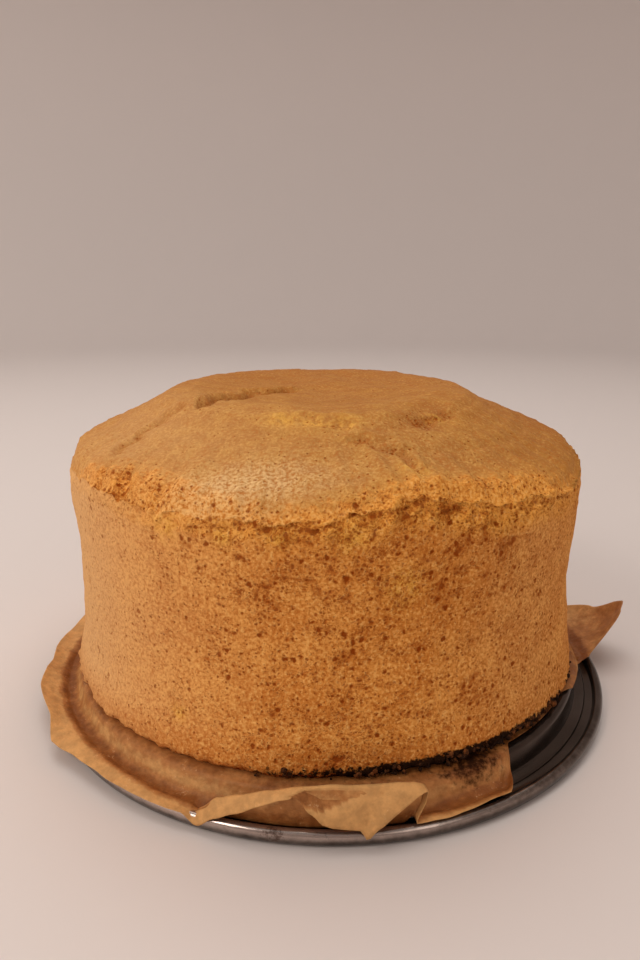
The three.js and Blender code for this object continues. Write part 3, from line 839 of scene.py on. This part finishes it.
    def spots(self, nominal: Values) -> SkinSpots:
        """Work out from the drum where each point belongs on the cake.

        Args:
            nominal: the drum's points, with a row in every millimetre of height.

        Returns:
            The points' places.
        """
        direction = np.degrees(np.arctan2(nominal[:, 1], nominal[:, 0]))
        share = np.hypot(nominal[:, 0], nominal[:, 1]) / self.nominal_radius
        row = np.rint(nominal[:, 2]).astype(int)
        base, steps = (np.array(column) for column in zip(*self.rows()))
        line = self.ring_height(direction)
        index = np.clip(row, 0, len(base) - 1)
        on_wall = base[index] * (line - self.wall_end) / (self.ring_line - self.wall_end)
        height = np.where(np.isnan(steps[index]), on_wall, line + steps[index])
        height = np.where(row < 0, self.underside - self.foot_level, height)
        return SkinSpots(direction, share, height, line, height - line, row >= len(base) - 1)

    def build(self) -> Piece:
        """Model the cake, move its skin to its places and dress it."""
        piece = self.blank()
        spots = self.spots(Bench.coordinates(piece) / MM)
        radius, pits, gash = self.wall_points(spots)
        crust, crust_pits = self.crust_points(spots)
        a = np.radians(spots.direction)
        wall = np.stack([radius * np.cos(a), radius * np.sin(a), spots.height], axis=1)
        points = np.where(spots.top[:, None], crust, wall)
        seam = 1.0 - smooth(spots.share, 0.97, 1.0)
        joined = points[:, 2] * seam + (spots.line + self.dome_start) * (1 - seam)
        points[:, 2] = np.where(spots.top, joined, points[:, 2])
        Bench.place(piece, (points + (*self.middle, self.foot_level)) * MM)
        tears = np.where(spots.top, 0.0, np.clip(gash, 0.0, 1.0))
        Bench.paint(piece, pit=np.where(spots.top, crust_pits, pits), gash=tears)
        groove = np.clip(-self.creases(crust[:, 0], crust[:, 1]) / 2.0, 0, 1)
        self.paint_bake(piece, spots, groove)
        self.paint_crust(piece, spots, crust, groove)
        Bench.pick(piece)
        bpy.ops.object.shade_smooth()
        Bench.fit_out(piece, Slot.SPONGE, SpongeFinish().material(), "sponge_cake")
        return piece

    def paint_bake(self, piece: Piece, spots: SkinSpots, groove: Values) -> None:
        """Store where the skin is torn, porous, browned and burnt, and where sheen is painted.

        Args:
            piece: the cake's mesh.
            spots: its points.
            groove: how deep in a crease each lies, from 0 to 1.
        """
        top, share, height = spots.top, spots.share, spots.height
        loose_crust = self.loose_crust(spots)
        cooler = 1.0 - 0.6 * spots.hill(-140, 26)
        dense = 0.22 + 0.8 * spots.hill(-78, 44) + 0.3 * spots.hill(-80, 30) * smooth(spots.step, -34, -8)
        # more pits in the crust's creases, as part of the shade painted there
        on_top = 0.22 * spots.hill(-70, 50) * smooth(share, 0.5, 0.85) + 0.6 * loose_crust + 0.9 * groove
        # painted sheen: the crust's left and the wall's left, far right and front right are washed lighter, standing in
        # for sheen from the light
        pale_top = 0.38 * spots.hill(-145, 45) * smooth(share, 0.3, 0.8) * (1 - groove)
        pale = spots.hill(-155, 36) + 0.16 * spots.hill(-8, 24) + 0.2 * spots.hill(-48, 16)
        brown = (1 - smooth(height, 1, 12)) * (0.3 + 0.4 * spots.hill(-80, 50))
        black = (1 - smooth(height, 0.4, 4.2)) * (0.1 + 1.1 * spots.hill(-66, 30))
        Bench.paint(
            piece,
            torn=cooler * np.where(top, 0.7 * loose_crust, self.loose(spots)),
            porous=np.clip(np.where(top, on_top, dense), 0, 1.15),
            pale=np.where(top, pale_top, pale),
            brown=np.where(top, 0.0, brown),
            char=np.where(top, 0.0, black),
        )

    def paint_crust(self, piece: Piece, spots: SkinSpots, crust: Values, groove: Values) -> None:
        """Store where the skin is crust, where shade and a highlight are painted on the crust, and where it shows
        yellow crumb.

        Args:
            piece: the cake's mesh.
            spots: its points.
            crust: place of each on the crust, from the cake's middle.
            groove: how deep in a crease each lies, from 0 to 1.
        """
        x, y = crust[:, 0], crust[:, 1]
        inside = 1.0 - 0.75 * np.clip(1.2 * self.loose_crust(spots), 0, 1)
        upwards = 0.45 * smooth(spots.step / (0.8 + 13.0 * spots.hill(-138, 30)), -1.0, 0.9)
        # painted shade: darker towards the crust's back and right, away from the light, and in its creases
        baked = 0.65 * smooth(y, -60, 50) + 0.35 * smooth(x - 0.3 * y, 20, 100) + 0.7 * groove
        # painted highlight on the front left shoulder, with a faint one at the front right
        bloom = 0.8 * patch(x, y, (-24, -84), 24, 8) + 0.08 * patch(x, y, (28, -70), 20, 14)
        yolk = sum(patch(x, y, middle, size, 0.6 * size) for middle, size in self.yolk_creases)
        arc = math.radians(1.0) * self.nominal_radius
        around = spots.direction * arc
        wall = sum(patch(around, spots.height, (way * arc, high), size, size) for way, high, size in self.yolk_marks)
        Bench.paint(
            piece,
            crust=np.where(spots.top, inside, upwards),
            baked=np.where(spots.top, np.clip(baked, 0, 1), 0.0),
            bloom=np.where(spots.top, bloom, 0.0),
            yolk=np.clip(np.where(spots.top, yolk, wall), 0, 1),
        )


@dataclass
class BurntCrumbs:
    """Small burnt lumps that stick out along the foot of the cake."""

    cake: Cake
    patches: tuple[tuple[float, float, int], ...] = (
        (-22, 3, 9), (-29, 3, 14), (-34, 3, 12), (-40, 4, 16), (-47, 4, 18),
        (-55, 5, 22), (-66, 7, 30), (-80, 8, 26), (-95, 8, 14),
    )
    radius: Pair = (0.35, 1.05)
    rise: Pair = (-1.4, 1.6)

    def build(self) -> Piece:
        """Strew copies of one rough lump along the foot, as one mesh."""
        Bench.clear()
        bpy.ops.mesh.primitive_ico_sphere_add(subdivisions=2, radius=1.0)
        lump = Bench.start("burnt_crumb_lump")
        ball = Bench.coordinates(lump)
        faces = np.array([face.vertices[:] for face in lump.data.polygons])
        draw = np.random.default_rng(17)
        points, corners = [], []
        for way, spread, count in self.patches:
            for _ in range(count):
                direction = np.array([draw.normal(way, spread / 2)])
                size = self.radius[0] + (self.radius[1] - self.radius[0]) * draw.random() ** 2
                a = math.radians(direction[0])
                out = self.cake.foot(direction)[0] + draw.uniform(-0.9, 0.5)
                middle = (out * math.cos(a), out * math.sin(a), self.cake.foot_level + draw.uniform(*self.rise))
                shape = ball * draw.uniform(0.7, 1.3, 3) * size
                shape *= 1.0 + 0.4 * Grain.clouds(ball + draw.uniform(0, 90, 3), 0.8, 5)[:, None]
                corners.append(faces + len(ball) * len(points))
                points.append(shape + middle + (*self.cake.middle, 0.0))
        bpy.data.objects.remove(lump)
        points, corners = np.concatenate(points) * MM, np.concatenate(corners)
        piece = Bench.add("burnt_crumbs", points.tolist(), [], corners.tolist())
        bpy.ops.object.shade_smooth()
        Bench.fit_out(piece, Slot.SPONGE, CharFinish().material())
        return piece


@dataclass
class Paper:
    """The sheet of baking paper: a disc under the cake, a skirt over the tin and a folded flap."""

    middle: Pair = (-5.9, -0.6)
    thickness: float = 0.16
    inner: float = 88.0
    cut_start: float = -56.2
    cut_end: float = -7.0
    tin_radius: float = 106.0
    flap_out: float = 2.6
    tip_lean: float = 2.9
    corner_at: float = -84.9
    corner_drop: float = 13.2
    corner_slant: float = 0.23
    directions: int = 720
    steps: int = 56
    free_knots: int = 6
    edge_out: Track = (
        (-180, 110), (-172, 108.6), (-161, 110.8), (-151, 109.4), (-145, 112), (-139, 109), (-132, 107.9), (-113, 107),
        (-72, 105.4), (-59.5, 104.6), (-53, 92.4), (-29, 92.4), (-25, 95.6), (-18, 96.4), (-9, 98), (-5, 104), (1, 119),
        (5, 123.4), (10, 116), (17, 110), (35, 108), (60, 110), (90, 108.4), (120, 109.6), (145, 108), (167, 110),
        (180, 110),
    )
    edge_up: Track = (
        (-180, 8.8), (-161, 11), (-151, 9.2), (-145, 6.2), (-132, 6.2), (-113, 6.2), (-72, 6.4), (-64, 7.4), (-59.5, 7),
        (-53, 12.45), (-9, 12.45), (-5, 7), (1, 22), (5, 22), (10, 15), (17, 11), (35, 9), (60, 10.5),
        (90, 8), (120, 9.6), (145, 8), (180, 8.8),
    )
    flap_ridge: Track = (
        (-113.5, 3), (-111, 7.1), (-108.5, 11.3), (-105, 13.7), (-100, 16.7), (-95, 18.8), (-90, 19.8), (-85, 19.4),
        (-82, 19.3), (-80, 18.7), (-79, 17.9), (-78.4, 17.2), (-76.5, 11),
    )
    flap_hang: Track = (
        (-113.5, 1), (-111, 4.2), (-108.5, 4.9), (-105, 4.2), (-101, 2.9), (-98, 1.6), (-96, 1.8), (-93, 7),
        (-91.5, 10.1), (-90, 11.2), (-87, 11.8), (-86, 12.2), (-85, 14.8), (-83, 10.9), (-82, 8.3), (-81, 5.5),
        (-80, 3), (-79, 0.9), (-78.4, 0.3),
    )
    strip: Track = ((-113.5, 9), (-108.5, 9), (-101, 4), (-97, 1.2), (-92, 0.8), (-84, 0.8), (-74, 2.5))
    fold: Track = ((-97, 1.2), (-93.5, 6), (-91.5, 7.1), (-90, 6.2), (-88.5, 4.9), (-87, 3.8), (-84, 2.2))
    skirt: Track = (
        (88, 12.45), (94.4, 12.45), (96.4, 11.4), (97.6, 8), (98.9, 6.2), (101.2, 5.9), (103.6, 7), (107, 7.2),
    )
    knots: tuple[float, ...] = (88, 93, 96.2, 97.6, 98.9, 101.2)

    def flap(self, direction: Values) -> Values:
        """Share of the folded flap by direction."""
        return smooth(direction, -114, -111.5) * (1 - smooth(direction, -78.4, -77.2))

    def lean(self, spots: Spots) -> Values:
        """Degrees that the flap's right tip hangs over to the side."""
        tip = smooth(spots.direction, -84.5, -78.8) * self.flap(spots.direction)
        return self.tip_lean * tip * self.beyond(spots, 6, 9)

    def beyond(self, spots: Spots, start: float, end: float) -> Values:
        """Ease from 0 to 1 over a stretch of the way out, counted in knots."""
        last = len(self.knots) + self.free_knots - 1
        return smooth(spots.share, start / last, end / last)

    def recessed(self, spots: Spots) -> Values:
        """Where the hanging part of the flap folds back, behind its upper strip.

        Args:
            spots: the points of the sheet.

        Returns:
            From 0 to 1 at each point.
        """
        direction = spots.direction
        down = along(self.flap_ridge, direction) - spots.height
        strip, fold = along(self.strip, direction), along(self.fold, direction)
        inside = smooth(down, strip - 0.3, strip + 0.5) * (1 - smooth(down, fold - 0.7, fold + 0.2))
        inside *= smooth(direction, -98, -95) * (1 - smooth(direction, -84.4, -83.4))
        return inside * self.beyond(spots, 9.2, 9.6)

    def spike(self, spots: Spots) -> Values:
        """Side of the flap's lowest corner, from -1 left of its fold to 1 right of it, 0 elsewhere."""
        down = along(self.flap_ridge, spots.direction) - spots.height
        off = spots.direction - self.corner_at - np.clip(self.corner_drop - down, 0, 11) * self.corner_slant
        return np.clip(off / 0.35, -1, 1) * np.exp(-((off / 1.6) ** 2)) * self.beyond(spots, 9.2, 9.6)

    def standing(self, direction: Values) -> Values:
        """Outer knots of the cross-section where the flap stands up and hangs over."""
        ridge, hang = along(self.flap_ridge, direction), along(self.flap_hang, direction)
        places = (
            (101.9, 4.2), (102.3, 5.2 + 0.15 * (ridge - 7)), (104.3, 7 + 0.7 * (ridge - 7)), (103.6, ridge),
            (105.6, ridge - 0.42 * hang), (103.6 + self.flap_out + 0.095 * hang, ridge - hang),
        )
        return np.stack([np.stack(np.broadcast_arrays(out, up, ridge)[:2], 1) for out, up in places], axis=1)

    def section(self, direction: Values) -> Values:
        """Knots of the cross-section in each direction, as distance and height.

        Args:
            direction: the directions.

        Returns:
            An array of directions by knots by two.
        """
        inner, free = len(self.knots), self.free_knots
        edge = along(self.edge_out, direction)
        cut = smooth(direction, self.cut_start - 3.3, self.cut_start + 3.2)
        cut *= 1 - smooth(direction, self.cut_end - 2, self.cut_end + 2)
        reach = np.minimum(1, (edge - self.inner) / (self.tin_radius - self.inner))
        raised = (along(self.edge_up, direction) - along(self.skirt, edge)) * (1 - cut)
        flap = self.flap(direction)[:, None]
        radius = [self.inner + (knot - self.inner) * reach for knot in self.knots]
        last = radius[-1]
        radius += [last + (edge - last) * (step + 1) / free for step in range(free)]
        radius = np.stack(radius, 1)
        a = np.radians(direction)
        height = along(self.skirt, radius.ravel()).reshape(radius.shape)
        height += raised[:, None] * np.clip((np.arange(inner + free) - inner + 1) / free, 0, 1) ** 2
        around = np.stack([np.cos(a), np.sin(a), np.zeros_like(a)], 1) * 100
        for knot in range(inner + free):
            place = around + (0, 0, knot * 3)
            wave = 0.55 * Grain.clouds(place, 13, 201, 2) * smooth(radius[:, knot], 97, 104)
            height[:, knot] += wave * (1 - flap[:, 0])
        knots = np.stack([radius, height], 2)
        knots[:, inner - 1, 1] -= 1.2 * flap[:, 0]
        knots[:, inner:] += (self.standing(direction) - knots[:, inner:]) * flap[:, :, None]
        return knots

    def along_knots(self, knots: Values, crisp: Values) -> Values:
        """Curve through the knots of every cross-section.

        Args:
            knots: directions by knots by two.
            crisp: how sharply each cross-section folds, from 0 to 1.

        Returns:
            Directions by steps by two.
        """
        count = knots.shape[1]
        place = np.linspace(0, count - 1, self.steps)
        index = np.clip(place.astype(int), 0, count - 2)
        t = (place - index)[None, :, None]
        padded = np.concatenate([2 * knots[:, :1] - knots[:, 1:2], knots, 2 * knots[:, -1:] - knots[:, -2:-1]], 1)
        p0, p1, p2, p3 = (padded[:, index + k] for k in range(4))
        curved = p1 + 0.5 * t * (p2 - p0 + t * (2 * p0 - 5 * p1 + 4 * p2 - p3 + t * (3 * (p1 - p2) + p3 - p0)))
        folded = p1 + (p2 - p1) * t
        return curved + (folded - curved) * (0.9 * crisp[:, None, None])

    def build(self) -> Piece:
        """Model the sheet and dress it."""
        Bench.clear()
        bpy.ops.mesh.primitive_grid_add(x_subdivisions=self.directions, y_subdivisions=self.steps - 1, size=2)
        piece = Bench.start("baking_paper_sheet")
        flat = Bench.coordinates(piece)
        turn = np.rint((flat[:, 0] + 1) / 2 * self.directions).astype(int)
        step = np.rint((flat[:, 1] + 1) / 2 * (self.steps - 1)).astype(int)
        direction = (np.arange(self.directions + 1) % self.directions) * 360 / self.directions - 180
        curve = self.along_knots(self.section(direction), self.flap(direction))
        spots = Spots(direction[turn], step / (self.steps - 1), curve[turn, step, 1])
        flap = self.flap(spots.direction)
        radius = curve[turn, step, 0] - (1.2 * self.recessed(spots) - 0.6 * self.spike(spots)) * flap
        a = np.radians(spots.direction) + np.radians(self.lean(spots))
        points = np.stack([radius * np.cos(a), radius * np.sin(a), spots.height], 1)
        folds = 0.5 - 1.6 * np.abs(Grain.clouds(points, 15, 231)) ** 0.8
        crinkles = 0.3 * Grain.clouds(points, 8, 221, 2) + 0.75 * folds
        points[:, 2] += crinkles * smooth(radius, 96, 100) * (1 - 0.7 * flap)
        Bench.place(piece, (points + (*self.middle, 0)) * MM)
        self.paint_stains(piece, spots, radius)
        Bench.edit()
        bpy.ops.mesh.select_all(action="SELECT")
        bpy.ops.mesh.remove_doubles(threshold=1e-5)
        bpy.ops.mesh.select_all(action="DESELECT")
        Bench.finish_edit()
        self.close_middle(piece)
        modifier = piece.modifiers.new("Solidify", "SOLIDIFY")
        modifier.thickness = self.thickness * MM
        modifier.offset = 0.0
        Bench.pick(piece)
        bpy.ops.object.modifier_apply(modifier=modifier.name)
        bpy.ops.object.shade_smooth()
        Bench.fit_out(piece, Slot.PAPER, PaperFinish().material(), "baking_paper")
        return piece

    def close_middle(self, piece: Piece) -> None:
        """Fill the disc under the cake and turn the upper face up."""
        points = Bench.coordinates(piece) - np.array((*self.middle, 0)) * MM
        inside = np.hypot(points[:, 0], points[:, 1]) < (self.inner + 0.01) * MM
        for edge in piece.data.edges:
            edge.select = bool(inside[edge.vertices[0]] and inside[edge.vertices[1]])
        Bench.edit()
        bpy.ops.mesh.select_mode(type="EDGE")
        bpy.ops.mesh.extrude_edges_move(TRANSFORM_OT_translate={"value": (0, 0, 0)})
        bpy.ops.transform.resize(value=(0.5, 0.5, 1))
        bpy.ops.mesh.edge_face_add()
        Bench.face_outwards()
        Bench.finish_edit()
        if max(piece.data.polygons, key=lambda face: face.area).normal.z < 0:
            Bench.edit()
            bpy.ops.mesh.flip_normals()
            Bench.finish_edit()

    def paint_stains(self, piece: Piece, spots: Spots, radius: Values) -> None:
        """Store where fat soaked into the paper, where shade is painted on its flap and where it burnt.

        Args:
            piece: the sheet's mesh.
            spots: its points.
            radius: their distance from the tin's middle.
        """
        flap = self.flap(spots.direction)
        # dark under and near the cake, lighter on the ridge at 97.4 mm, darker again in the trough at 101 mm and
        # lighter from 102.5 mm out
        ridge = np.exp(-(((radius - 97.4) / 1.0) ** 2))
        trough = np.exp(-(((radius - 101.0) / 1.8) ** 2))
        grease = 0.75 - 0.55 * ridge + 0.2 * trough - 0.8 * smooth(radius, 102.5, 105.8)
        corner = spots.hill(4, 9) * smooth(radius, 97, 101)
        grease += 0.25 * spots.hill(-64, 8) * (1 - smooth(radius, 102, 105)) + 0.5 * corner
        # painted shade on the flap: its inner standing panel, the panel folded back behind the strip and the left side
        # of the corner fold are darker; the strip and the right side of the fold lighter
        on_flap = -0.25 + 1.05 * self.recessed(spots) + 0.6 * (spots.share < 0.8) - 0.35 * self.spike(spots)
        grease += (on_flap - grease) * flap * self.beyond(spots, 7, 8)
        smear = 0.62 * spots.hill(-63, 7) * (1 - smooth(radius, 96.0, 101.5))
        smear += 0.3 * spots.hill(-85, 26) * (1 - smooth(radius, 95.5, 97.2))
        smear *= 1 - flap * smooth(spots.share, 0.55, 0.65)
        Bench.paint(piece, grease=np.clip(grease, -0.5, 1), char=smear)


@dataclass
class TinBase:
    """The loose base of the tin: plateau, groove and rolled rim, turned from one profile."""

    middle: Pair = (-5.9, -0.6)
    radius: float = 106.0
    rim_height: float = 5.3
    rim_width: float = 3.4
    groove: float = 2.0
    flange: float = 4.4
    plateau_radius: float = 94.0
    plateau: float = 11.5
    metal: float = 0.9
    turns: int = 256
    rust_spots: tuple[Triple, ...] = ((1.0, -99, 2.6), (0.6, -80, 1.6), (0.5, -68, 2))

    def profile(self) -> list[Pair]:
        """Closed outline of the wall, from the plateau's middle out and back below."""
        inner, outer, wide = self.radius - self.rim_width, self.radius, self.rim_width / 2
        low = self.rim_height - self.groove
        edge, top, flange = self.plateau_radius, self.plateau, self.flange
        under = top - self.metal
        bead = [
            (outer - wide + wide * math.cos(turn), self.rim_height - wide + wide * math.sin(turn))
            for turn in np.radians(np.linspace(160, 0, 9))
        ]
        return [
            (0, top), (edge - 0.8, top), (edge + 0.1, top - 0.15), (edge + 0.8, top - 0.7), (edge + 1.2, top - 1.6),
            (edge + 1.8, flange + 0.8), (edge + 2.1, flange + 0.2), (edge + 2.6, flange),
            (inner - 3.5, flange), (inner - 3.1, flange - 0.25), (inner - 2.8, low + 0.2), (inner - 2.3, low),
            (inner - 0.2, low), *bead,
            (outer - 0.05, 2.7), (outer - 0.3, 1.8), (outer - 0.8, 0.9), (outer - 1.5, 0.25), (outer - 2.0, 0),
            (outer - 2.8, 0), (outer - 3.2, 0.4), (outer - 3.6, low - self.metal), (inner - 3.2, low - self.metal),
            (inner - 3.9, flange - self.metal), (edge + 1.6, flange - self.metal), (edge + 0.4, top - 2),
            (edge - 0.8, under), (0, under),
        ]

    def build(self) -> Piece:
        """Spin the profile into the base and dress it."""
        outline = [(out * MM, up * MM) for out, up in self.profile()]
        piece = Bench.turned("tin_base_pressed", outline, self.turns, (self.middle[0] * MM, self.middle[1] * MM))
        Bench.edit()
        Bench.face_outwards()
        Bench.finish_edit()
        bpy.ops.object.shade_smooth_by_angle(angle=math.radians(40))
        points = Bench.coordinates(piece) / MM - (*self.middle, 0)
        direction = np.degrees(np.arctan2(points[:, 1], points[:, 0]))
        on_rim = smooth(np.hypot(points[:, 0], points[:, 1]), self.radius - self.rim_width - 0.6, self.radius - 1.5)
        # painted highlight: the bead's top and the rim's front left are made lighter where the light reflects, over a
        # little wear all round
        upper = 0.45 + 0.55 * smooth(points[:, 2], 1.8, 4.4)
        worn = upper * on_rim * (0.2 + 0.65 * hill(direction, -112, 62))
        rust = on_rim * sum(share * hill(direction, way, wide) for share, way, wide in self.rust_spots)
        Bench.paint(piece, worn=worn, rust=rust)
        Bench.fit_out(piece, Slot.STEEL, SteelFinish().material(), "tin_base")
        return piece


@dataclass
class Stage:
    """Pale cove, soft lights and the camera at the photo's viewing angle."""

    camera_place: Triple = (-9.4, -282.35, 156.0)
    camera_down: float = 15.57
    lit_height: float = 0.06
    lens: float = 28.5
    floor_colour: Colour = (0.72, 0.655, 0.63)
    floor_radius: float = 1.3
    floor_bend: float = 0.7
    wall_height: float = 2.4
    sky: Colour = (1.0, 0.93, 0.87)
    sky_strength: float = 0.36
    lights: tuple[tuple[str, Triple, float, float, Colour], ...] = (
        ("key_light", (-0.8, -0.7, 0.95), 0.7, 14.2, (1.0, 0.93, 0.86)),
        ("fill_light", (0.7, -0.9, 0.7), 0.8, 3.0, (1.0, 0.93, 0.86)),
        ("top_light", (0.0, 0.3, 1.3), 1.2, 8.5, (1.0, 0.95, 0.9)),
    )

    def cove(self) -> Piece:
        """A round floor that curves up into a wall far away."""
        start, bend = self.floor_radius, self.floor_bend
        outline = [(0.0, 0.0), (start, 0.0)]
        outline += [
            (start + bend * math.sin(t), bend - bend * math.cos(t)) for t in np.linspace(0.15, math.pi / 2, 14)
        ]
        outline.append((start + bend, self.wall_height))
        cove = Bench.turned("cove", outline, 96)
        bpy.ops.object.shade_smooth()
        cove.data.materials.append(Graph("cove").done(self.floor_colour, 0.55))
        return cove

    def light(self, name: str, place: Triple, size: float, power: float, colour: Colour) -> None:
        """Add a soft square light that faces the cake.

        Args:
            name: name of the light.
            place: where it hangs, in metres.
            size: length of its sides, in metres.
            power: its power in watts.
            colour: its colour.
        """
        bpy.ops.object.light_add(type="AREA", location=place)
        lamp = Bench.start(name)
        lamp.data.size = size
        lamp.data.energy = power
        lamp.data.color = colour
        aim = np.array((0.0, 0.0, self.lit_height)) - np.array(place)
        across = math.atan2(aim[0], -aim[1])
        down = math.atan2(math.hypot(aim[0], aim[1]), -aim[2])
        lamp.rotation_euler = (down, 0.0, -across + math.pi)

    def build(self) -> None:
        """Set up the cove, the lights and the camera."""
        self.cove()
        for name, place, size, power, colour in self.lights:
            self.light(name, place, size, power, colour)
        world = bpy.data.worlds.new("soft_room")
        bpy.context.scene.world = world
        world.use_nodes = True
        sky = world.node_tree.nodes["Background"]
        sky.inputs["Color"].default_value = (*self.sky, 1.0)
        sky.inputs["Strength"].default_value = self.sky_strength
        place = tuple(value * MM for value in self.camera_place)
        tilt = (math.radians(90.0 - self.camera_down), 0.0, 0.0)
        bpy.ops.object.camera_add(location=place, rotation=tilt)
        camera = Bench.start("camera")
        camera.data.lens = self.lens
        camera.data.sensor_width = 36.0
        camera.data.clip_start = 0.01
        bpy.context.scene.camera = camera
        bpy.context.scene.view_settings.view_transform = "Standard"


def main() -> None:
    """Build every sub-assembly in turn."""
    logging.basicConfig(level=logging.INFO, format="%(message)s")
    Stage().build()
    TinBase().build()
    Paper().build()
    cake = Cake()
    cake.build()
    BurntCrumbs(cake).build()


if __name__ == "__main__":
    main()
